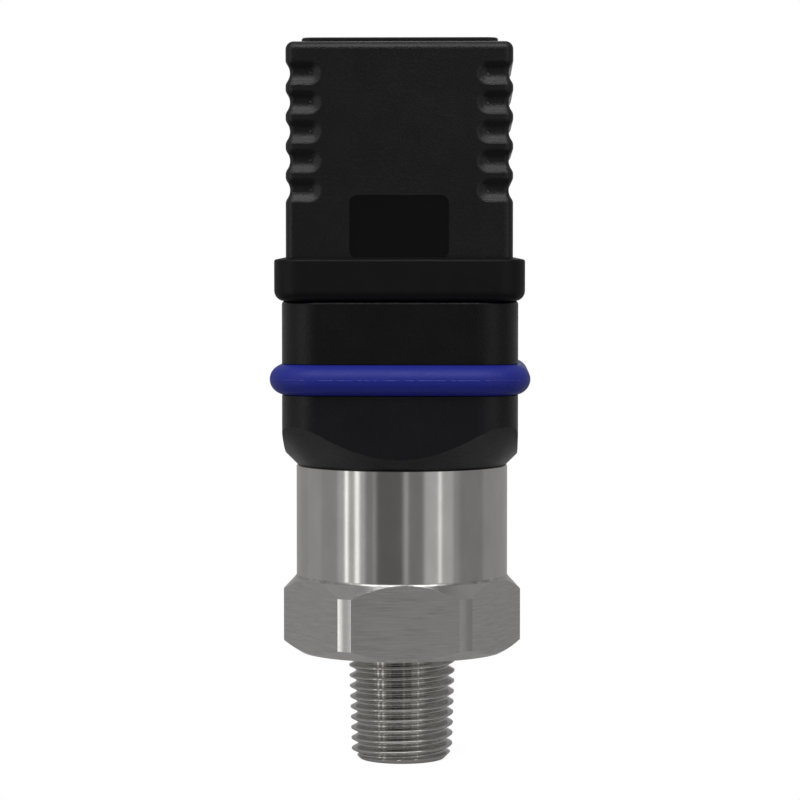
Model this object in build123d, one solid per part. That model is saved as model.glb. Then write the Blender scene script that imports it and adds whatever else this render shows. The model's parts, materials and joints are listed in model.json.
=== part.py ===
from build123d import *
import os
from math import atan2, cos, pi, radians, sin, sqrt, tan

# Screw-in pressure transmitter with an angled valve plug, in millimetres.
# Z is the axis of the process thread, up towards the plug, and z = 0 is the underside of the hexagon.
# The front of the plug faces -Y and its cable gland faces +Y.

# Stainless body
hex_across_flats = 27.0
hex_corner_diameter = 30.15
hex_height = 9.6
hex_shoulder_angle = 47.0
hex_foot_diameter = 26.2
hex_foot_chamfer_height = 1.33
hex_clocking = 3.2
case_diameter = 26.85
case_height = 14.1
case_wall = 1.225
case_bore_depth = 7.0
case_edge_chamfer = 0.1

# Tapered process thread, R 1/4, drawn at its crests
thread_length = 13.9
thread_gauge_diameter = 13.157
thread_gauge_length = 6.0
thread_taper = 1 / 16
thread_end_diameter = 10.8
thread_end_angle = 45.0
port_diameter = 4.0
port_countersink = 0.4

# Ceramic measuring cell, its seal and the ring that holds it
cell_diameter = 18.0
cell_thickness = 6.35
cell_edge_chamfer = 0.3
cell_clearance = 0.1
cell_seat_height = 5.0
cell_lift = 0.2
cell_seal_diameter = 14.0
cell_seal_groove_width = 2.2
cell_seal_groove_depth = 1.5
cell_ring_diameter = 20.0
cell_ring_bore = 12.0
cell_ring_height = 4.0
cell_ring_slot_width = 2.0
cell_ring_slot_depth = 1.2
seal_clearance = 0.02
seal_corner_share = 0.55
turning_clearance = 0.05

# Moulded connector base
base_width = 29.3
base_corner_radius = 5.0
base_height = 20.9
base_foot_inset = 0.2
base_foot_angle = 45.0
base_spigot_length = 5.5
base_spigot_clearance = 0.05
base_spigot_wall = 1.55
board_seat_ledge = 0.7
board_seat_height = 9.5
deck_thickness = 5.0
deck_edge_radius = 0.4
base_seal_section = 0.95
base_seal_groove_width = 1.3
base_seal_drop = 2.6

# Colored ring of oval section in the groove of the base
ring_section_height = 3.9
ring_section_depth = 4.25
ring_sink = 0.6
ring_clearance = 0.02
ring_height_above_case = 11.2

# Contact blades and the insert for the plug's screw
blade_circle_radius = 9.0
blade_width = 6.3
blade_thickness = 0.8
blade_height = 10.8
earth_blade_extra = 0.8
blade_tip_chamfer = 0.9
blade_tail_width = 1.2
blade_tail_below_board = 0.9
insert_diameter = 4.8
insert_length = 7.0
insert_boss_diameter = 9.0
insert_boss_floor = 1.4

# Circuit board
board_clearance = 0.1
board_thickness = 1.6
board_hole_clearance = 0.1
lead_diameter = 0.6
lead_circle_radius = 3.0
lead_count = 4

# Parts soldered under the board: length, width, height and place of the chips, then the capacitors
board_chips = [
    (5.0, 4.0, 1.4, 5.5, 4.2),
    (3.0, 3.0, 1.0, -6.2, 4.2),
    (4.5, 3.2, 1.6, 5.6, -5.2),
]
capacitor_diameter = 3.2
capacitor_height = 4.0
capacitor_places = [(-6.2, -5.4), (-1.6, -5.4)]

# Rubber gasket around the foot of the plug
gasket_width = 30.9
gasket_corner_radius = 3.5
gasket_wall_height = 5.1
gasket_slope_height = 0.3
gasket_slope_run = 1.4
gasket_foot_radius = 1.3
gasket_lip_radius = 0.3
gasket_web = 1.2
gasket_fit = 0.05

# Plug housing
plug_width = 27.9
plug_height = 30.6
plug_corner_radius = 1.1
plug_top_radius = 1.0
plug_wall = 2.25
plug_roof = 2.5
pad_width = 24.2
pad_height = 0.55
pad_corner_radius = 1.5
pad_edge_chamfer = 0.15
window_width = 12.2
window_height = 7.75
window_depth = 0.8
window_corner_radius = 1.0
window_top_drop = 18.8

# Grip grooves: five on each side, wrapped round the front edge
grip_count = 5
grip_pitch = 3.575
grip_first_drop = 3.9
grip_depth = 0.54
grip_valley_radius = 1.7
grip_lip_radius = 1.2
grip_lip_angle = 10.0
grip_front_reach = 4.5
grip_cut_margin = 0.6

# Fixing screw M3 x 35 with its washer, in a well in the top of the plug
screw_diameter = 3.0
screw_length = 34.8
screw_head_diameter = 5.5
screw_head_height = 2.2
screw_slot_width = 0.8
screw_slot_depth = 1.2
screw_tip_chamfer = 0.4
screw_passage_diameter = 3.4
screw_washer_diameter = 6.0
screw_washer_bore = 3.2
screw_washer_thickness = 0.8
well_diameter = 6.6
well_depth = 4.6
well_wall = 1.5
well_floor = 1.8
boss_wall = 1.6

# Terminal block and its contacts
block_clearance = 0.05
block_height = 15.2
block_floor = 0.6
block_corner_radius = 0.75
slot_clearance = 0.3
fork_width = 7.0
fork_thickness = 2.6
fork_grip = 0.05
fork_top_clearance = 0.4
clamp_width = 6.4
clamp_depth = 4.2
clamp_height = 3.6
clamp_circle_radius = 8.4
wire_hole_diameter = 2.2
wire_notch_width = 2.4
wire_notch_length = 2.6
chamber_clearance = 0.05
clamp_screw_diameter = 2.4
clamp_screw_head_diameter = 4.0
clamp_screw_head_height = 1.4
clamp_screw_head_gap = 0.8
clamp_screw_grip = 1.0

# Cable gland, PG 9
gland_drop = 10.0
gland_collar_diameter = 17.2
gland_collar_length = 1.5
neck_diameter = 15.2
neck_length = 8.25
neck_bore_diameter = 11.2
neck_seat_depth = 6.6
passage_diameter = 9.0
grommet_clearance = 0.05
grommet_length = 5.5
cable_hole_diameter = 7.0
gland_washer_thickness = 1.2
gland_washer_gap = 0.05
gland_washer_bore = 7.8
nut_across_flats = 18.0
nut_end_wall = 3.6
nut_end_diameter = 15.6
nut_gap = 0.15
nut_bore_clearance = 0.05
nut_cable_hole_diameter = 8.4
nut_chamfer = 0.8

# Diameters that follow from the sizes above
case_bore_diameter = case_diameter - 2 * case_wall
base_spigot_diameter = case_bore_diameter - 2 * base_spigot_clearance
base_bore_diameter = base_spigot_diameter - 2 * base_spigot_wall
board_diameter = base_bore_diameter - 2 * board_clearance
base_upper_bore_diameter = board_diameter - 2 * board_seat_ledge

# Levels that follow from the sizes above
case_top = hex_height + case_height
base_top = case_top + base_height
plug_foot = base_top + gasket_web
plug_top = plug_foot + plug_height
pad_top = plug_top + pad_height
deck_underside = base_top - deck_thickness
board_top = case_top + board_seat_height
board_underside = board_top - board_thickness
cell_bottom = cell_seat_height + cell_lift
cell_top = cell_bottom + cell_thickness
ring_level = case_top + ring_height_above_case
gasket_shoulder = base_top + gasket_wall_height
gasket_top = gasket_shoulder + gasket_slope_height
cavity_top = plug_top - plug_roof
well_level = pad_top - well_depth
block_top = plug_foot + block_height
screw_head_level = well_level + screw_washer_thickness
screw_tip_level = screw_head_level - screw_length
gland_level = plug_top - gland_drop
plug_back = plug_width / 2
neck_mouth = plug_back + neck_length
grommet_start = neck_mouth - neck_seat_depth
washer_start = grommet_start + grommet_length + gland_washer_gap
nut_shoulder = washer_start + gland_washer_thickness
nut_start = plug_back + gland_collar_length + nut_gap
nut_end = nut_shoulder + nut_end_wall
blade_top = base_top + blade_height
fork_bottom = plug_foot + block_floor + chamber_clearance
fork_roof = blade_top + earth_blade_extra + fork_top_clearance
clamp_top = fork_roof + clamp_height

LOW = (Align.CENTER, Align.CENTER, Align.MIN)
same_level = 0.001


def disc(diameter, low, high, x=0, y=0):
    """A round bar along Z between two levels."""
    return Pos(x, y, low) * Cylinder(diameter / 2, high - low, align=LOW)


def block(size_x, size_y, low, high, x=0, y=0):
    """A rectangular bar along Z between two levels."""
    return Pos(x, y, low) * Box(size_x, size_y, high - low, align=LOW)


def rounded_block(width, corner_radius, low, high):
    """A square bar along Z with rounded upright edges."""
    outline = RectangleRounded(width, width, corner_radius)
    return Pos(0, 0, low) * extrude(outline, high - low)


def turned(points):
    """A turned solid from its half section, given as radius and level."""
    outline = Polyline(*[(radius, 0, level) for radius, level in points], close=True)
    return revolve(make_face(outline), Axis.Z)


def bar_y(diameter, start, end, level):
    """A round bar along Y at a level, between two distances behind the axis."""
    bar = Cylinder(diameter / 2, end - start, align=LOW)
    return Pos(0, start, level) * Rot(-90, 0, 0) * bar


def edges_at(solid, level):
    """The edges that lie flat at a level."""
    return solid.edges().filter_by_position(Axis.Z, level - same_level, level + same_level)


def around(angle, solid):
    """The solid turned about the main axis."""
    return Rot(0, 0, angle) * solid


def crest_diameter(distance):
    """Diameter over the crests of the thread at a distance from its small end."""
    return thread_gauge_diameter + (distance - thread_gauge_length) * thread_taper


def make_transmitter_body():
    """The turned body: process thread, hexagon and round case in one piece."""
    hex_radius = hex_corner_diameter / 2
    case_radius = case_diameter / 2
    foot_radius = hex_foot_diameter / 2
    shoulder_drop = (hex_radius - case_radius) * tan(radians(hex_shoulder_angle))
    envelope = turned([
        (0, 0),
        (foot_radius, 0),
        (hex_radius, hex_foot_chamfer_height),
        (hex_radius, hex_height - shoulder_drop),
        (case_radius, hex_height),
        (0, hex_height),
    ])
    flats = RegularPolygon(hex_across_flats / 2, 6, major_radius=False)
    hexagon = around(hex_clocking, extrude(flats, hex_height)) & envelope
    case = disc(case_diameter, hex_height, case_top)
    case = chamfer(edges_at(case, case_top), case_edge_chamfer)

    end_radius = thread_end_diameter / 2
    spread = tan(radians(thread_end_angle))
    full_at = (crest_diameter(0) / 2 - end_radius) / (spread - thread_taper / 2)
    stub = turned([
        (0, 0),
        (crest_diameter(thread_length) / 2, 0),
        (end_radius + full_at * spread, full_at - thread_length),
        (end_radius, -thread_length),
        (0, -thread_length),
    ])

    port_radius = port_diameter / 2
    port = turned([
        (0, -thread_length),
        (port_radius + port_countersink, -thread_length),
        (port_radius, -thread_length + port_countersink),
        (port_radius, cell_seat_height),
        (0, cell_seat_height),
    ])
    ring_bore = cell_ring_diameter + 2 * turning_clearance
    ring_bore_start = cell_top - cell_lift
    chamber = disc(cell_diameter + 2 * cell_clearance, cell_seat_height, ring_bore_start)
    chamber += disc(ring_bore, ring_bore_start, case_top - case_bore_depth)
    chamber += disc(case_bore_diameter, case_top - case_bore_depth, case_top)
    groove_level = cell_seat_height - cell_seal_groove_depth
    groove = disc(cell_seal_diameter + cell_seal_groove_width, groove_level, cell_seat_height)
    groove -= disc(cell_seal_diameter - cell_seal_groove_width, groove_level, cell_seat_height)
    return hexagon + case + stub - port - chamber - groove


def seal_ring(middle_radius, section, level):
    """A seal ring whose round section is squeezed nearly square, with its corners cut."""
    half = section / 2
    cut = half * seal_corner_share
    return turned([
        (middle_radius - half + cut, level - half),
        (middle_radius + half - cut, level - half),
        (middle_radius + half, level - half + cut),
        (middle_radius + half, level + half - cut),
        (middle_radius + half - cut, level + half),
        (middle_radius - half + cut, level + half),
        (middle_radius - half, level + half - cut),
        (middle_radius - half, level - half + cut),
    ])


def make_cell_seal():
    """The seal ring between the seat and the measuring cell."""
    height = cell_seal_groove_depth + cell_lift
    middle = cell_seat_height - cell_seal_groove_depth + height / 2
    return seal_ring(cell_seal_diameter / 2, height - 2 * seal_clearance, middle)


def make_measuring_cell():
    """The ceramic cell: a thick disc with its diaphragm side down."""
    cell = disc(cell_diameter, cell_bottom, cell_top)
    return chamfer(edges_at(cell, cell_top) + edges_at(cell, cell_bottom), cell_edge_chamfer)


def make_cell_ring():
    """The threaded ring over the cell, with two key slots."""
    ring = disc(cell_ring_diameter, cell_top, cell_top + cell_ring_height)
    ring -= disc(cell_ring_bore, cell_top, cell_top + cell_ring_height)
    slot_level = cell_top + cell_ring_height - cell_ring_slot_depth
    slots = block(cell_ring_diameter, cell_ring_slot_width, slot_level, cell_top + cell_ring_height)
    return ring - slots


def lead_places():
    """Where the leads stand, on a circle about the axis."""
    return PolarLocations(lead_circle_radius, lead_count, start_angle=45)


def make_cell_leads():
    """Wires from the top of the cell to the board."""
    length = board_underside - cell_top
    wires = [
        Pos(0, 0, cell_top) * place * Cylinder(lead_diameter / 2, length, align=LOW)
        for place in lead_places()
    ]
    return Compound(children=wires)


def blade_angles():
    """The angle about the axis of each blade, by its number, with the earth blade last."""
    return {"1": 0, "2": 180, "3": 270, "earth": 90}


def make_base_seal():
    """The seal ring between the spigot of the base and the case."""
    outer = case_bore_diameter / 2 - seal_clearance
    return seal_ring(outer - base_seal_section / 2, base_seal_section, case_top - base_seal_drop)


def make_color_ring():
    """The silicone ring: an oval section swept along a rounded square just inside the wall of the base."""
    width = base_width - 2 * ring_sink
    outline = RectangleRounded(width, width, base_corner_radius - ring_sink)
    path = Pos(0, 0, ring_level) * outline.wire()
    start = Plane(path @ 0, x_dir=(0, 0, 1), z_dir=path % 0)
    return sweep(start * Ellipse(ring_section_height / 2, ring_section_depth / 2), path=path)


def make_ring_groove():
    """The square groove of the base that the ring sits in."""
    depth = ring_sink + ring_section_depth / 2 + ring_clearance
    low = ring_level - ring_section_height / 2 - ring_clearance
    high = ring_level + ring_section_height / 2 + ring_clearance
    past_wall = rounded_block(base_width + ring_section_depth, base_corner_radius, low, high)
    return past_wall - rounded_block(base_width - 2 * depth, base_corner_radius - depth, low, high)


def make_connector_base():
    """The moulded base: square above, a cone at its foot, and a deck that carries the blades."""
    square = rounded_block(base_width, base_corner_radius, case_top, base_top)
    square = fillet(edges_at(square, base_top), deck_edge_radius)
    foot_radius = case_diameter / 2 - base_foot_inset
    cone = turned([
        (0, case_top),
        (foot_radius, case_top),
        (foot_radius + base_height / tan(radians(base_foot_angle)), base_top),
        (0, base_top),
    ])
    outside = square & cone

    spigot_bottom = case_top - base_spigot_length
    outside += disc(base_spigot_diameter, spigot_bottom, case_top)
    seal_level = case_top - base_seal_drop
    groove = disc(case_bore_diameter, seal_level - base_seal_groove_width / 2,
                  seal_level + base_seal_groove_width / 2)
    groove_floor = case_bore_diameter - 2 * base_seal_section - 4 * seal_clearance
    groove -= disc(groove_floor, seal_level - base_seal_groove_width / 2,
                   seal_level + base_seal_groove_width / 2)

    hollow = disc(base_bore_diameter, spigot_bottom, board_top)
    hollow += disc(base_upper_bore_diameter, board_top, deck_underside)
    boss_bottom = base_top - insert_length - insert_boss_floor
    hollow -= disc(insert_boss_diameter, boss_bottom, deck_underside)
    base = outside - groove - hollow
    base -= make_ring_groove()
    base -= disc(insert_diameter, base_top - insert_length, base_top)
    for angle in blade_angles().values():
        slot = block(blade_thickness, blade_width, deck_underside, base_top, blade_circle_radius)
        base -= around(angle, slot)
    return base


def make_blade(extra_height=0.0):
    """A flat blade with a chamfered tip and a narrow tail that goes down through the board."""
    top = blade_top + extra_height
    tail = board_underside - blade_tail_below_board
    half = blade_width / 2
    half_tail = blade_tail_width / 2
    outline = Polyline(
        (0, -half, deck_underside),
        (0, -half, top - blade_tip_chamfer),
        (0, -half + blade_tip_chamfer, top),
        (0, half - blade_tip_chamfer, top),
        (0, half, top - blade_tip_chamfer),
        (0, half, deck_underside),
        (0, half_tail, deck_underside),
        (0, half_tail, tail),
        (0, -half_tail, tail),
        (0, -half_tail, deck_underside),
        close=True,
    )
    flat = extrude(make_face(outline), blade_thickness / 2, dir=(1, 0, 0), both=True)
    return Pos(blade_circle_radius, 0, 0) * flat


def make_screw_insert():
    """The brass insert that takes the fixing screw."""
    insert = disc(insert_diameter, base_top - insert_length, base_top)
    return insert - disc(screw_diameter + 2 * turning_clearance, base_top - insert_length, base_top)


def make_circuit_board():
    """The round board under its seat in the base."""
    board = disc(board_diameter, board_underside, board_top)
    for angle in blade_angles().values():
        hole = block(
            blade_thickness + 2 * board_hole_clearance,
            blade_tail_width + 2 * board_hole_clearance,
            board_underside,
            board_top,
            blade_circle_radius,
        )
        board -= around(angle, hole)
    return board


def make_board_components():
    """The parts on the underside of the board: two chips, a regulator and two capacitors."""
    chips = [
        block(length, width, board_underside - height, board_underside, x, y)
        for length, width, height, x, y in board_chips
    ]
    capacitors = [
        disc(capacitor_diameter, board_underside - capacitor_height, board_underside, x, y)
        for x, y in capacitor_places
    ]
    return Compound(children=chips + capacitors)


def make_profile_gasket():
    """The rubber gasket: a web under the plug and a collar round its foot."""
    wall = rounded_block(gasket_width, gasket_corner_radius, base_top, gasket_shoulder)
    wall = fillet(edges_at(wall, base_top), gasket_foot_radius)
    top_width = gasket_width - 2 * gasket_slope_run
    top_corner = gasket_corner_radius - gasket_slope_run
    lower = Pos(0, 0, gasket_shoulder) * RectangleRounded(gasket_width, gasket_width, gasket_corner_radius)
    upper = Pos(0, 0, gasket_top) * RectangleRounded(top_width, top_width, top_corner)
    gasket = wall + loft([lower, upper])
    gasket = fillet(edges_at(gasket, gasket_shoulder), gasket_lip_radius)
    foot_width = plug_width + 2 * gasket_fit
    gasket -= rounded_block(foot_width, plug_corner_radius + gasket_fit, plug_foot, gasket_top)
    gasket -= disc(screw_passage_diameter + 2 * slot_clearance, base_top, plug_foot)
    for angle in blade_angles().values():
        slot = block(
            blade_thickness + 2 * slot_clearance,
            blade_width + 2 * slot_clearance,
            base_top,
            plug_foot,
            blade_circle_radius,
        )
        gasket -= around(angle, slot)
    return gasket


def grip_profile(whole):
    """Section of a grip groove, depth along -X and width along Y, or its upper half alone."""
    valley_centre = grip_valley_radius - grip_depth
    lip_centre = -grip_lip_radius * cos(radians(grip_lip_angle))
    reach = grip_valley_radius + grip_lip_radius
    lip_offset = sqrt(reach**2 - (valley_centre - lip_centre) ** 2)
    mouth = lip_offset - grip_lip_radius * sin(radians(grip_lip_angle))
    share = grip_valley_radius / reach
    turn_width = share * lip_offset
    turn_depth = valley_centre + share * (lip_centre - valley_centre)
    mouth_angle = pi / 2 + radians(grip_lip_angle)
    turn_angle = atan2(valley_centre - lip_centre, -lip_offset)
    middle_angle = (mouth_angle + turn_angle) / 2
    lip_middle_width = lip_offset + grip_lip_radius * cos(middle_angle)
    lip_middle_depth = lip_centre + grip_lip_radius * sin(middle_angle)
    upper_lip = ThreePointArc((turn_depth, turn_width), (lip_middle_depth, lip_middle_width), (0, mouth))
    if whole:
        valley = ThreePointArc((turn_depth, -turn_width), (-grip_depth, 0), (turn_depth, turn_width))
        lower_lip = ThreePointArc(
            (0, -mouth), (lip_middle_depth, -lip_middle_width), (turn_depth, -turn_width)
        )
        sides = Polyline((0, mouth), (grip_cut_margin, mouth), (grip_cut_margin, -mouth), (0, -mouth))
        return make_face(lower_lip + valley + upper_lip + sides), mouth
    half_turn = atan2(turn_width, valley_centre - turn_depth) / 2
    valley_middle = (
        valley_centre - grip_valley_radius * cos(half_turn),
        grip_valley_radius * sin(half_turn),
    )
    valley = ThreePointArc((-grip_depth, 0), valley_middle, (turn_depth, turn_width))
    sides = Polyline((0, mouth), (grip_cut_margin, mouth), (grip_cut_margin, 0), (-grip_depth, 0))
    return make_face(valley + upper_lip + sides), mouth


def make_grip_cutter():
    """One grip groove of the left side at level zero: along the side, round the edge, to a round end."""
    half = plug_width / 2
    corner = half - plug_corner_radius
    section, mouth = grip_profile(True)
    half_section, mouth = grip_profile(False)
    side_plane = Plane(origin=(-half, -corner, 0), x_dir=(-1, 0, 0), z_dir=(0, 1, 0))
    side_run = extrude(side_plane * section, half + corner + grip_cut_margin, dir=(0, 1, 0))
    corner_axis = Axis((-corner, -corner, 0), (0, 0, 1))
    bend = revolve(side_plane * section, corner_axis, revolution_arc=90)
    front_length = grip_front_reach - plug_corner_radius - mouth
    front_plane = Plane(origin=(-corner, -half, 0), x_dir=(0, -1, 0), z_dir=(-1, 0, 0))
    front_run = extrude(front_plane * section, front_length, dir=(1, 0, 0))
    end_x = -corner + front_length
    end_plane = Plane(origin=(end_x, -half, 0), x_dir=(0, -1, 0), z_dir=(-1, 0, 0))
    dish = revolve(end_plane * half_section, Axis((end_x, -half, 0), (0, -1, 0)))
    return side_run + bend + front_run + dish


def make_plug_housing():
    """The moulded plug housing with its grip grooves, front window, screw well and gland neck."""
    shell = rounded_block(plug_width, plug_corner_radius, plug_foot, plug_top)
    shell = fillet(edges_at(shell, plug_top), plug_top_radius)
    pad = rounded_block(pad_width, pad_corner_radius, plug_top - plug_top_radius, pad_top)
    shell += chamfer(edges_at(pad, pad_top), pad_edge_chamfer)
    shell += bar_y(gland_collar_diameter, 0, plug_back + gland_collar_length, gland_level)
    shell += bar_y(neck_diameter, 0, neck_mouth, gland_level)

    cavity_width = plug_width - 2 * plug_wall
    hollow = rounded_block(cavity_width, block_corner_radius, plug_foot, cavity_top)
    hollow -= disc(well_diameter + 2 * well_wall, well_level - well_floor, cavity_top)
    hollow -= disc(screw_passage_diameter + 2 * boss_wall, block_top, cavity_top)
    hollow += disc(screw_passage_diameter, block_top, well_level)
    hollow += disc(well_diameter, well_level, pad_top)
    passage = bar_y(passage_diameter, cavity_width / 2, neck_mouth, gland_level)
    passage += bar_y(neck_bore_diameter, grommet_start, neck_mouth, gland_level)
    shell = shell - hollow - passage

    window = RectangleRounded(
        window_width, window_height, window_corner_radius, align=(Align.CENTER, Align.MAX)
    )
    window_top = plug_top - window_top_drop
    front = Plane(origin=(0, -plug_width / 2, window_top), x_dir=(1, 0, 0), z_dir=(0, -1, 0))
    shell -= extrude(front * window, -window_depth)

    left = make_grip_cutter()
    right = mirror(left, about=Plane.YZ)
    for index in range(grip_count):
        level = plug_top - grip_first_drop - index * grip_pitch
        shell -= Pos(0, 0, level) * left
        shell -= Pos(0, 0, level) * right
    return shell


def make_terminal_block():
    """The insulating block in the plug, with a chamber for each contact."""
    width = plug_width - 2 * plug_wall - 2 * block_clearance
    body = rounded_block(width, block_corner_radius, plug_foot, block_top)
    body -= disc(screw_passage_diameter, plug_foot, block_top)
    chamber_floor = plug_foot + block_floor
    gap = 2 * chamber_clearance
    chamber = block(
        blade_thickness + 2 * slot_clearance,
        blade_width + 2 * slot_clearance,
        plug_foot,
        chamber_floor,
        blade_circle_radius,
    )
    chamber += block(fork_thickness + gap, fork_width + gap, chamber_floor, fork_roof, blade_circle_radius)
    chamber += block(
        clamp_depth + gap,
        clamp_width + gap,
        fork_roof - chamber_clearance,
        block_top,
        clamp_circle_radius,
    )
    chamber += block(
        wire_notch_width,
        wire_notch_length,
        fork_roof - chamber_clearance,
        block_top,
        clamp_circle_radius,
        (clamp_width + wire_notch_length) / 2,
    )
    for angle in blade_angles().values():
        body -= around(angle, chamber)
    return body


def make_socket_contact():
    """A fork for the blade with a wire clamp on top."""
    fork = block(fork_thickness, fork_width, fork_bottom, fork_roof, blade_circle_radius)
    gap = blade_thickness + 2 * fork_grip
    fork -= block(gap, fork_width, fork_bottom, fork_roof, blade_circle_radius)
    clamp = block(clamp_depth, clamp_width, fork_roof, clamp_top, clamp_circle_radius)
    middle = fork_roof + clamp_height / 2
    wire_hole = Cylinder(wire_hole_diameter / 2, clamp_width)
    clamp -= Pos(clamp_circle_radius, 0, middle) * Rot(90, 0, 0) * wire_hole
    hole = clamp_screw_diameter + 2 * turning_clearance
    clamp -= disc(hole, middle, clamp_top, clamp_circle_radius)
    return fork + clamp


def make_clamp_screw():
    """A small slotted screw that clamps the wire."""
    head_level = clamp_top + clamp_screw_head_gap
    head_top = head_level + clamp_screw_head_height
    screw = disc(clamp_screw_diameter, clamp_top - clamp_screw_grip, head_level, clamp_circle_radius)
    screw += disc(clamp_screw_head_diameter, head_level, head_top, clamp_circle_radius)
    slot_level = head_top - clamp_screw_head_height / 2
    slot = block(screw_slot_width, clamp_screw_head_diameter, slot_level, head_top, clamp_circle_radius)
    return screw - slot


def make_clamp_screws():
    """The four clamp screws, one over each contact."""
    screw = make_clamp_screw()
    return Compound(children=[around(angle, screw) for angle in blade_angles().values()])


def make_screw_washer():
    """The flat washer under the head of the fixing screw."""
    top = well_level + screw_washer_thickness
    washer = disc(screw_washer_diameter, well_level, top)
    return washer - disc(screw_washer_bore, well_level, top)


def make_fixing_screw():
    """The long cheese-head screw through the middle of the plug."""
    tip_radius = screw_diameter / 2 - screw_tip_chamfer
    head_radius = screw_head_diameter / 2
    head_top = screw_head_level + screw_head_height
    screw = turned([
        (0, screw_tip_level),
        (tip_radius, screw_tip_level),
        (screw_diameter / 2, screw_tip_level + screw_tip_chamfer),
        (screw_diameter / 2, screw_head_level),
        (head_radius, screw_head_level),
        (head_radius, head_top - screw_tip_chamfer),
        (head_radius - screw_tip_chamfer, head_top),
        (0, head_top),
    ])
    slot = block(screw_head_diameter, screw_slot_width, head_top - screw_slot_depth, head_top)
    return screw - slot


def make_gland_grommet():
    """The rubber sleeve that closes on the cable."""
    end = grommet_start + grommet_length
    outer = neck_bore_diameter - 2 * grommet_clearance
    sleeve = bar_y(outer, grommet_start, end, gland_level)
    return sleeve - bar_y(cable_hole_diameter, grommet_start, end, gland_level)


def make_gland_washer():
    """The thrust washer between the nut and the grommet."""
    outer = neck_bore_diameter - 2 * grommet_clearance
    washer = bar_y(outer, washer_start, nut_shoulder, gland_level)
    return washer - bar_y(gland_washer_bore, washer_start, nut_shoulder, gland_level)


def make_gland_nut():
    """The hexagon nut of the gland, with a round end."""
    across_corners = nut_across_flats / cos(radians(30))
    radius = across_corners / 2
    length = nut_end - nut_start
    flats = RegularPolygon(nut_across_flats / 2, 6, major_radius=False)
    prism = extrude(flats, length)
    end_radius = nut_end_diameter / 2
    envelope = turned([
        (0, 0),
        (radius - nut_chamfer, 0),
        (radius, nut_chamfer * tan(radians(30))),
        (radius, length - nut_end_wall),
        (end_radius + nut_chamfer, length - nut_chamfer),
        (end_radius, length),
        (0, length),
    ])
    bore = disc(neck_diameter + 2 * nut_bore_clearance, 0, nut_shoulder - nut_start)
    bore += disc(nut_cable_hole_diameter, nut_shoulder - nut_start, length)
    nut = (prism & envelope) - bore
    return Pos(0, nut_start, gland_level) * Rot(-90, 0, 0) * nut


def make_nodes():
    """Every piece by the name of its node."""
    nodes = {
        "transmitter_body": make_transmitter_body(),
        "cell_seal": make_cell_seal(),
        "measuring_cell": make_measuring_cell(),
        "cell_ring": make_cell_ring(),
        "cell_leads": make_cell_leads(),
        "connector_base": make_connector_base(),
        "base_seal": make_base_seal(),
        "color_ring": make_color_ring(),
        "screw_insert": make_screw_insert(),
        "circuit_board": make_circuit_board(),
        "board_components": make_board_components(),
        "profile_gasket": make_profile_gasket(),
        "plug_housing": make_plug_housing(),
        "terminal_block": make_terminal_block(),
        "clamp_screws": make_clamp_screws(),
        "screw_washer": make_screw_washer(),
        "fixing_screw": make_fixing_screw(),
        "gland_grommet": make_gland_grommet(),
        "gland_washer": make_gland_washer(),
        "gland_nut": make_gland_nut(),
    }
    for name, angle in blade_angles().items():
        if name == "earth":
            nodes["earth_blade"] = around(angle, make_blade(earth_blade_extra))
            nodes["earth_socket"] = around(angle, make_socket_contact())
        else:
            nodes["contact_blade_" + name] = around(angle, make_blade())
            nodes["socket_contact_" + name] = around(angle, make_socket_contact())
    return nodes


os.makedirs("parts", exist_ok=True)
for node_name, node in make_nodes().items():
    export_step(node, "parts/" + node_name + ".step")
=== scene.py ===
"""Looks of a screw-in pressure transmitter: steel, black plastic, rubber and its real threads."""

import json
from math import atan2, cos, degrees, hypot, pi, radians, sin, sqrt, tan

import bmesh
import bpy
from mathutils import Matrix, Vector


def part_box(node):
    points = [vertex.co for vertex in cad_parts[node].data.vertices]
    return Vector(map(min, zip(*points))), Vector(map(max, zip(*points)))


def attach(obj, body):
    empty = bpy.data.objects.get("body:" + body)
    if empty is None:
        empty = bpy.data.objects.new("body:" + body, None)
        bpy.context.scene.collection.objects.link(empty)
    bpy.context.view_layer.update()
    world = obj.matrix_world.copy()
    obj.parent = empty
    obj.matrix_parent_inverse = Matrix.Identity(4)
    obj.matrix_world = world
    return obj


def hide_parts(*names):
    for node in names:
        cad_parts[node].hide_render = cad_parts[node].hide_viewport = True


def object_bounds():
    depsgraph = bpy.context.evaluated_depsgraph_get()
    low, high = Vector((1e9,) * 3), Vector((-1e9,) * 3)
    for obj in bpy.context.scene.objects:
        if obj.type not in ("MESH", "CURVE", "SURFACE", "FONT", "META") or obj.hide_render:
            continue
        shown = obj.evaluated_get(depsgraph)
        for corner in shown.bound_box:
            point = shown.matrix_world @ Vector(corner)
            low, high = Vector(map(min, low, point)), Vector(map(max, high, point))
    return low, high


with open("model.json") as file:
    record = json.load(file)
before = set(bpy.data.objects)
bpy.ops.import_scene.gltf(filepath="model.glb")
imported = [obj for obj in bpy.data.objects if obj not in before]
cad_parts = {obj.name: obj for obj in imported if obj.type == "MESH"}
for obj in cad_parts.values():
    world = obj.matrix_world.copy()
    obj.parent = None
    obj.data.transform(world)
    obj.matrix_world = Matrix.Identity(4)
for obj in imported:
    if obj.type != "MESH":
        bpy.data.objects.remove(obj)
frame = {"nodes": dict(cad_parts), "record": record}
cad_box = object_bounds()
MM = 0.001

# Camera, found from the outline of the object in the photograph
camera_yaw = 1.5
camera_pitch = 2.676
camera_distance = 379.0 * MM
camera_side = -0.249 * MM
camera_height = 49.565 * MM
camera_clip = (0.01, 20.0)
focal_pixels = 2979.2
frame_pixels = 800
sensor_width = 36.0

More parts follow.
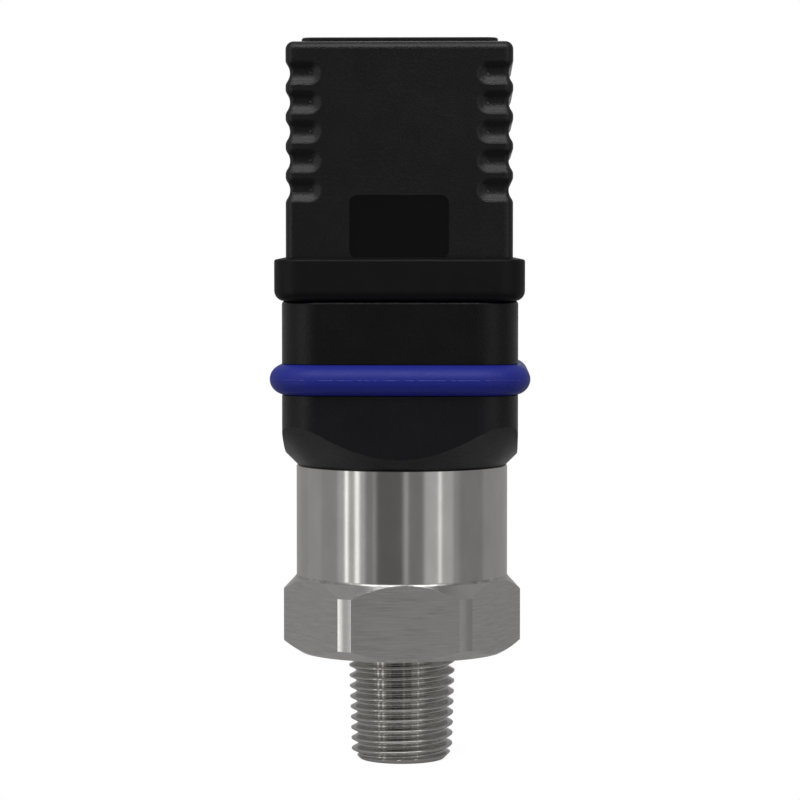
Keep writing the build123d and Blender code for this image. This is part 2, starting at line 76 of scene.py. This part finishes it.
# The case and the hexagon, as in the part, and the small fillet between them
case_radius = 13.425 * MM
case_foot_fillet = 0.17 * MM
hex_height = 9.6 * MM
hex_half_flats = 13.5 * MM
hex_shoulder_angle = 47.0
hex_clocking = 3.2

# Place of the window in the front of the plug, and how sharply its smooth finish and its painted
# shade end
window_half_width = 6.15 * MM
window_half_height = 3.93 * MM
window_half_depth = 0.3 * MM
window_middle = 53.72 * MM
window_floor = -13.15 * MM
window_edge = 0.05 * MM

# The process thread, whose gauge plane lies at its gauge length from the free end
thread_gauge_diameter = 13.157 * MM
thread_gauge_length = 6.0 * MM
thread_taper = 1 / 16
thread_end_radius = 5.4 * MM
port_clear_radius = 4.0 * MM
pipe_thread = {"pitch": 1.337 * MM, "half_angle": 27.5, "rounding": 0.1837 * MM}

# The neck of the cable gland, along Y
collar_end = 15.45 * MM
neck_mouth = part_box("plug_housing")[1].y
neck_radius = 7.6 * MM
neck_bore_radius = 5.6 * MM
neck_clear_radius = neck_bore_radius + 0.2 * MM
gland_level = sum(corner.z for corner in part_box("gland_nut")) / 2
gland_thread = {"pitch": 1.41 * MM, "half_angle": 40.0, "rounding": 0.151 * MM}

# The fixing screw of the plug
screw_radius = 1.5 * MM
screw_tip_radius = 1.1 * MM
screw_thread_length = 14.0 * MM
screw_head_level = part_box("screw_washer")[1].z
screw_thread = {"pitch": 0.5 * MM, "half_angle": 30.0, "rounding": 0.05 * MM}

# How closely a face has to lie or point for it to count as one of those looked for
hair = 0.01 * MM
nearly_upright = 0.02
nearly_level = 0.9
nearly_square = 1.0
sharp_angle = 50.0

# Values that several finishes share; most of a noise lies in the noise range
noise_range = (0.3, 0.7)
steel_dark = (0.57, 0.555, 0.535)
steel_light = (0.63, 0.615, 0.595)
plastic_ior = 1.45
dull_ior = 1.37
plastic_roughness = (0.28, 0.36)
plastic_patch = 4.0 * MM
coarse_grain = 0.33 * MM
fine_grain = 0.15 * MM
coarse_share = 0.75
fine_share = 0.6
rubber_patch = 3.0 * MM


def set_camera():
    """The camera at the photograph's place and angle."""
    data = bpy.data.cameras.new("camera")
    data.sensor_width = sensor_width
    data.lens = sensor_width * focal_pixels / frame_pixels
    data.clip_start, data.clip_end = camera_clip
    camera = bpy.data.objects.new("camera", data)
    turn = Matrix.Rotation(radians(camera_yaw), 4, "Z")
    camera.location = turn @ Vector((camera_side, -camera_distance, camera_height))
    camera.rotation_euler = (radians(90 - camera_pitch), 0, radians(camera_yaw))
    bpy.context.scene.collection.objects.link(camera)
    bpy.context.scene.camera = camera


class Nodes:
    """A small helper that adds nodes to a tree. A value is a number or another node's socket."""

    def __init__(self, tree):
        self.nodes = tree.nodes
        self.links = tree.links

    def feed(self, value, socket):
        """Sets a socket to a number or links it."""
        if isinstance(value, (int, float)):
            socket.default_value = value
        else:
            self.links.new(value, socket)

    def axes(self, place):
        """The sockets X, Y and Z of a place."""
        split = self.nodes.new("ShaderNodeSeparateXYZ")
        self.links.new(place, split.inputs[0])
        return split.outputs

    def math(self, operation, *values):
        """One arithmetic step."""
        node = self.nodes.new("ShaderNodeMath")
        node.operation = operation
        for value, socket in zip(values, node.inputs):
            self.feed(value, socket)
        return node.outputs[0]

    def map(self, value, low, high, from_low, from_high, shape="LINEAR"):
        """The value rescaled from one range to another and held inside it."""
        node = self.nodes.new("ShaderNodeMapRange")
        node.interpolation_type = shape
        self.feed(value, node.inputs["Value"])
        self.feed(low, node.inputs["To Min"])
        self.feed(high, node.inputs["To Max"])
        self.feed(from_low, node.inputs["From Min"])
        self.feed(from_high, node.inputs["From Max"])
        return node.outputs["Result"]

    def smooth(self, value, low, high, from_low, from_high):
        """The same with soft ends."""
        return self.map(value, low, high, from_low, from_high, "SMOOTHSTEP")


class Shader(Nodes):
    """The same helper for one material, with a plain colour where its textures can't show."""

    def __init__(self, name):
        self.material = bpy.data.materials.new(name)
        self.material.use_nodes = True
        super().__init__(self.material.node_tree)
        self.surface = self.nodes["Principled BSDF"]
        self.place = self.nodes.new("ShaderNodeTexCoord").outputs["Object"]
        self.normal = None

    def set(self, **values):
        """Sets sockets of the shader by name, with _ for a space."""
        for name, value in values.items():
            socket = self.surface.inputs[name.replace("_", " ")]
            if isinstance(value, tuple) and len(value) == 3:
                value = (*value, 1.0)
            socket.default_value = value
        return self

    def noise(self, size, stretch=(1, 1, 1), detail=2.0, roughness=0.5):
        """Noise whose features are about this size, longer along an axis by its stretch."""
        mapping = self.nodes.new("ShaderNodeMapping")
        mapping.inputs["Scale"].default_value = [1 / (size * factor) for factor in stretch]
        texture = self.nodes.new("ShaderNodeTexNoise")
        texture.inputs["Scale"].default_value = 1.0
        texture.inputs["Detail"].default_value = detail
        texture.inputs["Roughness"].default_value = roughness
        self.links.new(self.place, mapping.inputs["Vector"])
        self.links.new(mapping.outputs["Vector"], texture.inputs["Vector"])
        return texture.outputs["Fac"]

    def near(self, axis, middle, half, edge):
        """1 within half of the middle along an axis, 0 outside it, with a soft edge."""
        offset = self.math("SUBTRACT", self.axes(self.place)[axis], middle)
        away = self.math("ABSOLUTE", offset)
        return self.map(away, 1.0, 0.0, half - edge / 2, half + edge / 2)

    def roughness(self, value, low, high):
        """Roughness that follows a noise between two values."""
        self.feed(self.map(value, low, high, *noise_range), self.surface.inputs["Roughness"])
        return self

    def tint(self, value, first, last, value_range=noise_range):
        """Base colour that goes from the first to the last while the value crosses its range."""
        mix = self.nodes.new("ShaderNodeMix")
        mix.data_type = "RGBA"
        mix.inputs["A"].default_value = (*first, 1.0)
        mix.inputs["B"].default_value = (*last, 1.0)
        self.feed(self.map(value, 0.0, 1.0, *value_range), mix.inputs["Factor"])
        self.feed(mix.outputs["Result"], self.surface.inputs["Base Color"])
        return self

    def bump(self, value, depth):
        """Relief of the given depth, stacked on what is there."""
        node = self.nodes.new("ShaderNodeBump")
        node.inputs["Strength"].default_value = 1.0
        node.inputs["Distance"].default_value = depth
        self.feed(value, node.inputs["Height"])
        if self.normal is not None:
            self.feed(self.normal, node.inputs["Normal"])
        self.normal = node.outputs["Normal"]
        self.feed(self.normal, self.surface.inputs["Normal"])
        return self

    def grain(self, coarse_depth, fine_depth, where=None):
        """The eroded grain of moulded plastic, all over or only where a mask is 1."""
        coarse = self.noise(coarse_grain)
        fine = self.noise(fine_grain, roughness=0.6)
        for relief, depth in ((coarse, coarse_depth), (fine, fine_depth)):
            if where is not None:
                relief = self.math("MULTIPLY", relief, where)
            self.bump(relief, depth)
        return self

    def circular(self, amount):
        """Scratches that run round the main axis, so that gloss spreads up and down."""
        tangent = self.nodes.new("ShaderNodeTangent")
        tangent.direction_type = "RADIAL"
        tangent.axis = "Z"
        self.feed(tangent.outputs["Tangent"], self.surface.inputs["Tangent"])
        return self.set(Anisotropic=amount, Anisotropic_Rotation=0.25)


def shaded(color, share):
    """The colour made darker or lighter by a share."""
    return tuple(channel * share for channel in color)


def turned_steel(name="turned_steel", low=0.14, high=0.20, spread=0.85, shade=1.0):
    """Stainless steel from the lathe: fine rings round the axis."""
    dark = shaded(steel_dark, shade)
    shader = Shader(name).set(Metallic=1.0, Base_Color=dark).circular(spread)
    rings = shader.noise(0.05 * MM, stretch=(60, 60, 1), detail=3.0)
    patches = shader.noise(2.5 * MM, stretch=(1, 1, 2), detail=3.0)
    shader.roughness(rings, low, high)
    shader.tint(patches, dark, shaded(steel_light, shade))
    return shader.bump(rings, 0.0015 * MM).material


def chattered_steel():
    """The small fillet at the foot of the case, where the tool left a broken gloss."""
    shader = Shader("chattered_steel").set(Metallic=1.0, Base_Color=(0.5, 0.49, 0.475))
    shader.circular(0.6)
    marks = shader.noise(1.3 * MM, detail=1.0)
    shader.roughness(marks, 0.30, 0.18)
    return shader.tint(marks, (0.38, 0.37, 0.36), (0.60, 0.585, 0.565)).material


def brushed_steel():
    """The milled flats of the hexagon, with a fine level grain."""
    shader = Shader("brushed_steel").set(Metallic=1.0, Base_Color=(0.60, 0.585, 0.565))
    shader.circular(0.6)
    strokes = shader.noise(0.08 * MM, stretch=(40, 40, 1), detail=3.0, roughness=0.6)
    pits = shader.noise(0.15 * MM)
    shader.roughness(strokes, 0.26, 0.38)
    shader.tint(strokes, (0.46, 0.443, 0.427), (0.62, 0.60, 0.58))
    return shader.bump(strokes, 0.003 * MM).bump(pits, 0.002 * MM).material


def moulded_plastic(name, color, roughness=plastic_roughness, depth=0.03 * MM):
    """Satin moulded plastic with an eroded grain."""
    shader = Shader(name).set(Base_Color=color, IOR=plastic_ior)
    patches = shader.noise(plastic_patch, detail=3.0)
    shader.roughness(patches, *roughness)
    shader.tint(patches, color, shaded(color, 1.25))
    return shader.grain(coarse_share * depth, fine_share * depth).material


def housing_plastic():
    """The plug's plastic: grained, but smooth on the floor of the front window, where it is also
    painted much darker as shade in the recess.
    """
    shader = Shader("housing_plastic").set(Base_Color=(0.0052, 0.0049, 0.0055), IOR=plastic_ior)
    window = shader.math(
        "MULTIPLY",
        shader.near("X", 0.0, window_half_width, window_edge),
        shader.near("Y", window_floor, window_half_depth, window_edge),
    )
    height = shader.near("Z", window_middle, window_half_height, window_edge)
    window = shader.math("MULTIPLY", window, height)
    patches = shader.noise(plastic_patch, detail=3.0)
    satin = shader.map(patches, *plastic_roughness, *noise_range)
    gloss = shader.map(window, 1.0, 0.4, 0.0, 1.0)
    shader.feed(shader.math("MULTIPLY", satin, gloss), shader.surface.inputs["Roughness"])
    # Painted shade: the floor of the window is tinted much darker than the rest of the housing, as
    # shade in the recess.
    shader.tint(window, (0.0046, 0.0042, 0.0048), (0.0012, 0.0011, 0.0012), (0.0, 1.0))
    grained = shader.math("SUBTRACT", 1.0, window)
    return shader.grain(0.03 * MM, 0.038 * MM, where=grained).material


def base_plastic():
    """The base's plastic, with painted light: lighter below the ring, where light from the floor
    falls, and darker above it, in the shade under the gasket.
    """
    low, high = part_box("color_ring")
    shader = Shader("base_plastic").set(Base_Color=(0.0024, 0.0021, 0.0027), IOR=dull_ior)
    shader.roughness(shader.noise(plastic_patch, detail=3.0), *plastic_roughness)
    level = shader.axes(shader.place)["Z"]
    # Painted light and shade: lighter below the ring and darker above it, by height.
    shader.tint(level, (0.0050, 0.0046, 0.0062), (0.0022, 0.0018, 0.0023), (low.z, high.z))
    return shader.grain(0.035 * MM, 0.035 * MM).material


def ring_silicone():
    """Blue silicone with a broken, slightly raised line where the halves of its mould met, painted
    a lighter blue as a highlight on it.
    """
    low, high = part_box("color_ring")
    blue = (0.014, 0.022, 0.285)
    line_half_width = 0.07 * MM
    line_edge = 0.12 * MM
    shader = Shader("blue_silicone").set(Base_Color=blue, IOR=dull_ior)
    line = shader.near("Z", (low.z + high.z) / 2, line_half_width, line_edge)
    dashes = shader.map(shader.noise(0.6 * MM, stretch=(1, 1, 4)), 0.0, 1.0, 0.42, 0.58)
    line = shader.math("MULTIPLY", line, dashes)
    shader.roughness(shader.noise(rubber_patch, detail=3.0), 0.42, 0.50)
    # Painted highlight: the mould line is tinted a lighter blue, as if it caught the light.
    shader.tint(line, blue, (0.028, 0.044, 0.36), (0.0, 1.0))
    grain = shader.noise(0.2 * MM, detail=3.0, roughness=0.6)
    return shader.bump(line, 0.05 * MM).bump(grain, 0.035 * MM).material


def soft_rubber(name, color, ior=1.40):
    """Matt rubber with a finer grain."""
    shader = Shader(name).set(Base_Color=color, IOR=ior)
    patches = shader.noise(rubber_patch, detail=3.0)
    shader.roughness(patches, 0.45, 0.55)
    shader.tint(patches, color, shaded(color, 1.3))
    return shader.bump(shader.noise(0.1 * MM), 0.004 * MM).material


def fine_metal(name, color, low, high):
    """Plated or machined small parts, with a roughness between low and high."""
    shader = Shader(name).set(Base_Color=color, Metallic=1.0)
    patches = shader.noise(0.9 * MM, detail=3.0)
    shader.roughness(patches, low, high)
    shader.tint(patches, shaded(color, 0.88), color)
    return shader.bump(shader.noise(0.08 * MM, detail=3.0), 0.0015 * MM).material


materials = {
    "stainless_steel": turned_steel(),
    "housing_plastic": housing_plastic(),
    "base_plastic": base_plastic(),
    "gland_plastic": moulded_plastic("gland_plastic", (0.0062, 0.0060, 0.0063)),
    "block_plastic": moulded_plastic("block_plastic", (0.11, 0.115, 0.12)),
    "gasket_rubber": soft_rubber("gasket_rubber", (0.0020, 0.0018, 0.0022), ior=1.31),
    "seal_rubber": soft_rubber("seal_rubber", (0.008, 0.008, 0.008)),
    "blue_silicone": ring_silicone(),
    "ceramic": moulded_plastic("ceramic", (0.72, 0.70, 0.64), (0.25, 0.4), 0.002 * MM),
    "brass": fine_metal("brass", (0.75, 0.56, 0.26), 0.22, 0.34),
    "contact_metal": fine_metal("contact_metal", (0.68, 0.67, 0.64), 0.24, 0.36),
    "tinned_wire": fine_metal("tinned_wire", (0.70, 0.70, 0.69), 0.28, 0.4),
    "zinc_plate": fine_metal("zinc_plate", (0.60, 0.61, 0.62), 0.24, 0.38),
    "board": moulded_plastic("board", (0.012, 0.075, 0.03), (0.25, 0.35), 0.002 * MM),
    "components": moulded_plastic("components", (0.015, 0.015, 0.015), (0.4, 0.5)),
}
flat_steel = brushed_steel()
foot_steel = chattered_steel()
thread_steel = turned_steel("thread_steel", low=0.05, high=0.08, spread=0.6, shade=0.86)


def dress_nodes():
    """Gives each piece of the part its finish."""
    for row in frame["record"]["subparts"]:
        node = frame["nodes"][row["node"]]
        node.data.materials.clear()
        node.data.materials.append(materials[row["material_slot"]])


def thread_depth(offset, thread):
    """Depth below the crest at an axial offset from the crest, for a rounded thread form."""
    pitch = thread["pitch"]
    angle = radians(thread["half_angle"])
    radius = thread["rounding"]
    arc = radius * cos(angle)
    depth = 2 * radius * (1 - sin(angle)) + (pitch / 2 - 2 * arc) / tan(angle)
    offset = abs((offset / pitch + 0.5) % 1.0 - 0.5) * pitch
    if offset < arc:
        return radius - sqrt(radius**2 - offset**2)
    if offset > pitch / 2 - arc:
        return depth - radius + sqrt(radius**2 - (pitch / 2 - offset) ** 2)
    return radius * (1 - sin(angle)) + (offset - arc) / tan(angle)


def ring_mesh(name, rings):
    """A wall through rings of points, each a radius and a level, evenly spaced round Z."""
    steps = len(rings[0])
    vertices = []
    for ring in rings:
        for step, (radius, level) in enumerate(ring):
            angle = 2 * pi * step / steps
            vertices.append((radius * cos(angle), radius * sin(angle), level))
    faces = []
    for row in range(len(rings) - 1):
        for step in range(steps):
            near = row * steps
            beside = (step + 1) % steps
            faces.append((near + step, near + beside, near + steps + beside, near + steps + step))
    mesh = bpy.data.meshes.new(name)
    mesh.from_pydata(vertices, [], faces)
    mesh.polygons.foreach_set("use_smooth", [True] * len(faces))
    mesh.set_sharp_from_angle(angle=radians(sharp_angle))
    return mesh


def thread_mesh(
    name, thread, start, end, crest, limit,
    before=(), after=(), rows_per_pitch=26, steps=144,
):
    """
    A threaded wall along Z from start up to end; crest and limit give radii at a level.
    Before and after are plain rings, as radius and level, that the wall begins and ends with.
    """
    rows = int((end - start) / thread["pitch"] * rows_per_pitch)
    rings = [[(radius, level)] * steps for radius, level in before]
    for row in range(rows + 1):
        level = start + (end - start) * row / rows
        ring = []
        for step in range(steps):
            offset = level - step / steps * thread["pitch"]
            ring.append((min(crest(level) - thread_depth(offset, thread), limit(level)), level))
        rings.append(ring)
    rings += [[(radius, level)] * steps for radius, level in after]
    return ring_mesh(name, rings)


def case_foot(steps=180, points=6):
    """The small fillet between the round case and the shoulder of the hexagon, cut by the flats."""
    drop = case_foot_fillet * tan(radians(hex_shoulder_angle))
    rings = []
    for point in range(points):
        share = point / (points - 1)
        out = case_radius + case_foot_fillet * share**2
        level = hex_height + case_foot_fillet * (1 - share) ** 2 - drop * share**2
        ring = []
        for step in range(steps):
            turn = (360 * step / steps - hex_clocking) % 60 - 30
            flat = (hex_half_flats - hair) / cos(radians(turn))
            ring.append((min(out, flat), level))
        rings.append(ring)
    return ring_mesh("case_foot", rings[::-1])


def copy_without(node, name, unwanted):
    """A copy of a node's mesh without the faces that unwanted picks."""
    mesh = frame["nodes"][node].data.copy()
    mesh.name = name
    shape = bmesh.new()
    shape.from_mesh(mesh)
    gone = [face for face in shape.faces if unwanted(face)]
    bmesh.ops.delete(shape, geom=gone, context="FACES")
    shape.to_mesh(mesh)
    shape.free()
    return mesh


def joined(name, meshes):
    """One object from several meshes."""
    objects = []
    for mesh in meshes:
        piece = bpy.data.objects.new(name, mesh)
        bpy.context.scene.collection.objects.link(piece)
        objects.append(piece)
    bpy.ops.object.select_all(action="DESELECT")
    for piece in objects:
        piece.select_set(True)
    bpy.context.view_layer.objects.active = objects[0]
    bpy.ops.object.join()
    return objects[0]


def stand_in(piece, node):
    """Puts a finished piece, which already carries its node's finish, in the place of its node, on
    the same body, and hides the node.
    """
    bodies = frame["record"]["behaviour"]["bodies"]
    body = next(name for name, nodes in bodies.items() if node in nodes)
    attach(piece, body)
    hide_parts(node)


def make_steel_body():
    """The steel body with its tapered thread cut, and its flats brushed."""
    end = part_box("transmitter_body")[0].z

    def crest(level):
        return (thread_gauge_diameter + (level - end - thread_gauge_length) * thread_taper) / 2

    def limit(level):
        return thread_end_radius + level - end

    def stub_wall(face):
        middle = face.calc_center_median()
        return end + hair < middle.z < -hair and hypot(middle.x, middle.y) > port_clear_radius

    def hex_flat(face):
        upright = abs(face.normal.z) < nearly_upright and 0 < face.center.z < hex_height
        outer = hypot(face.center.x, face.center.y) > hex_half_flats - hair
        turn = (degrees(atan2(face.normal.y, face.normal.x)) - hex_clocking) % 60 - 30
        return upright and outer and abs(turn) < nearly_square

    wall = copy_without("transmitter_body", "steel_body", stub_wall)
    thread = thread_mesh(
        "process_thread", pipe_thread, end, 0.0, crest, limit, after=[(crest(0.0), 0.0)],
    )
    fillet = case_foot()
    wall.materials.append(flat_steel)
    thread.materials.append(thread_steel)
    fillet.materials.append(foot_steel)
    for face in wall.polygons:
        if hex_flat(face):
            face.material_index = 1
    stand_in(joined("steel_body", [wall, thread, fillet]), "transmitter_body")


def make_threaded_housing():
    """The plug housing with the thread of its gland neck cut."""

    def neck_wall(face):
        middle = face.calc_center_median()
        radius = hypot(middle.x, middle.z - gland_level)
        return middle.y > collar_end + hair and radius > neck_clear_radius

    def crest(level):
        return neck_radius

    def limit(level):
        return neck_radius - gland_thread["pitch"] / 2 + neck_mouth - level

    wall = copy_without("plug_housing", "threaded_housing", neck_wall)
    thread = thread_mesh(
        "gland_thread", gland_thread, collar_end, neck_mouth, crest, limit,
        before=[(neck_radius, collar_end)], after=[(neck_bore_radius, neck_mouth)],
    )
    lift = Matrix.Translation((0, 0, gland_level))
    thread.transform(lift @ Matrix.Rotation(radians(-90), 4, "X"))
    thread.materials.append(materials["housing_plastic"])
    stand_in(joined("threaded_housing", [wall, thread]), "plug_housing")


def make_threaded_screw():
    """The fixing screw with the thread on its lower end cut, and a plain shank above it."""
    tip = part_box("fixing_screw")[0].z
    end = tip + screw_thread_length

    def shank(face):
        middle = face.calc_center_median()
        between = tip + hair < middle.z < screw_head_level - hair
        return between and abs(face.normal.z) < nearly_level

    def crest(level):
        return screw_radius

    def limit(level):
        return screw_tip_radius + level - tip

    wall = copy_without("fixing_screw", "threaded_screw", shank)
    thread = thread_mesh(
        "screw_thread", screw_thread, tip, end, crest, limit,
        after=[(screw_radius, end), (screw_radius, screw_head_level)],
        rows_per_pitch=12, steps=40,
    )
    thread.materials.append(materials["zinc_plate"])
    stand_in(joined("threaded_screw", [wall, thread]), "fixing_screw")


# The floor shows as plain white to the camera; gloss and glass see a share of that
floor_radius = 45.0 * MM
floor_gap = 0.05 * MM
floor_segments = 96
floor_color = 0.45
floor_glow = {"Is Camera Ray": 0.84, "Is Glossy Ray": 0.1, "Is Transmission Ray": 0.1}


def floor_finish():
    """A dull grey that takes a shadow, with the glow that makes it white."""
    material = bpy.data.materials.new("floor")
    material.use_nodes = True
    tree = Nodes(material.node_tree)
    tree.nodes.remove(tree.nodes["Principled BSDF"])
    diffuse = tree.nodes.new("ShaderNodeBsdfDiffuse")
    diffuse.inputs["Color"].default_value = (floor_color, floor_color, floor_color, 1.0)
    path = tree.nodes.new("ShaderNodeLightPath")
    strength = 0.0
    for ray, share in floor_glow.items():
        strength = tree.math("MULTIPLY_ADD", path.outputs[ray], share, strength)
    glow = tree.nodes.new("ShaderNodeEmission")
    tree.feed(strength, glow.inputs["Strength"])
    both = tree.nodes.new("ShaderNodeAddShader")
    tree.feed(diffuse.outputs[0], both.inputs[0])
    tree.feed(glow.outputs[0], both.inputs[1])
    tree.feed(both.outputs[0], tree.nodes["Material Output"].inputs["Surface"])
    return material


def make_floor():
    """A small round floor just under the part."""
    mesh = bpy.data.meshes.new("floor")
    shape = bmesh.new()
    bmesh.ops.create_circle(shape, cap_ends=True, segments=floor_segments, radius=floor_radius)
    shape.to_mesh(mesh)
    shape.free()
    mesh.materials.append(floor_finish())
    floor = bpy.data.objects.new("floor", mesh)
    floor.location = (0, 0, cad_box[0].z - floor_gap)
    bpy.context.scene.collection.objects.link(floor)


# Soft boxes that light the part and black flags that take light away, by their azimuth in
# degrees, 0 at the camera and growing to its right: middle, half of the width, soft edge,
# change of brightness
wall_brightness = 0.345
boxes_and_flags = {
    "far left box": (-110.0, 13.0, 4.0, 0.045),
    "left box": (-56.0, 17.0, 3.0, 0.16),
    "left strip": (-61.2, 1.9, 1.6, 1.3),
    "inner strip": (-48.3, 2.5, 2.2, 1.1),
    "thin left strip": (-28.8, 0.8, 1.0, 0.2),
    "thin middle strip": (6.2, 1.2, 1.4, 0.16),
    "right box": (42.5, 16.5, 3.0, 0.20),
    "right strip": (43.2, 1.6, 2.0, 0.8),
    "front left flag": (-32.0, 6.5, 3.0, -0.09),
    "front flag": (-11.5, 14.0, 2.0, -0.21),
    "front right flag": (16.5, 8.0, 3.0, -0.12),
    "right flag": (83.5, 17.0, 6.0, -0.085),
}

# The key light above the front, the soft box overhead and the ground, by the sine of their
# elevation, and the part of the room behind that is white
key_brightness = 2.7
key_reach = (48.0, 66.0)
key_sines = (0.5, 0.66, 0.93, 0.97)
overhead_brightness = 0.42
overhead_sines = (0.95, 0.985)
ground_brightness = 0.07
ground_sines = (-0.66, -0.46)
backdrop_azimuth = 172.0
backdrop_edge = 4.0


def room_light(tree, azimuth, height):
    """The brightness of the room in each direction."""
    walls = wall_brightness
    for middle, half, edge, change in boxes_and_flags.values():
        away = tree.math("ABSOLUTE", tree.math("SUBTRACT", azimuth, middle))
        added = tree.smooth(away, change, 0.0, half - edge / 2, half + edge / 2)
        walls = tree.math("ADD", walls, added)
    foot, low, high, top = key_sines
    key = tree.smooth(tree.math("ABSOLUTE", azimuth), 1.0, 0.0, *key_reach)
    key = tree.math("MULTIPLY", key, tree.smooth(height, 0.0, 1.0, foot, low))
    key = tree.math("MULTIPLY", key, tree.smooth(height, 1.0, 0.0, high, top))
    walls = tree.math("MAXIMUM", walls, tree.math("MULTIPLY", key, key_brightness))
    upper = tree.smooth(height, walls, overhead_brightness, *overhead_sines)
    return tree.smooth(height, ground_brightness, upper, *ground_sines)


def set_studio():
    """White for the camera, and behind the part for gloss and glass, in a room lit all round."""
    world = bpy.data.worlds.new("studio")
    bpy.context.scene.world = world
    world.use_nodes = True
    tree = Nodes(world.node_tree)
    direction = tree.axes(tree.nodes.new("ShaderNodeTexCoord").outputs["Generated"])
    towards_camera = tree.math("MULTIPLY", direction["Y"], -1.0)
    azimuth = tree.math("ARCTAN2", direction["X"], towards_camera)
    azimuth = tree.math("MULTIPLY", azimuth, degrees(1))
    room = room_light(tree, azimuth, direction["Z"])
    near_edge = backdrop_azimuth - backdrop_edge
    far_edge = backdrop_azimuth + backdrop_edge
    behind = tree.smooth(tree.math("ABSOLUTE", azimuth), 0.0, 1.0, near_edge, far_edge)
    path = tree.nodes.new("ShaderNodeLightPath").outputs
    mirrored = tree.math("MAXIMUM", path["Is Glossy Ray"], path["Is Transmission Ray"])
    seen = tree.math("MULTIPLY", mirrored, behind)
    white = tree.math("MAXIMUM", path["Is Camera Ray"], seen)
    background = tree.nodes["Background"]
    background.inputs["Color"].default_value = (1, 1, 1, 1)
    tree.feed(tree.math("MAXIMUM", white, room), background.inputs["Strength"])


set_camera()
bpy.context.scene.view_settings.view_transform = "Standard"
dress_nodes()
make_steel_body()
make_threaded_housing()
make_threaded_screw()
make_floor()
set_studio()
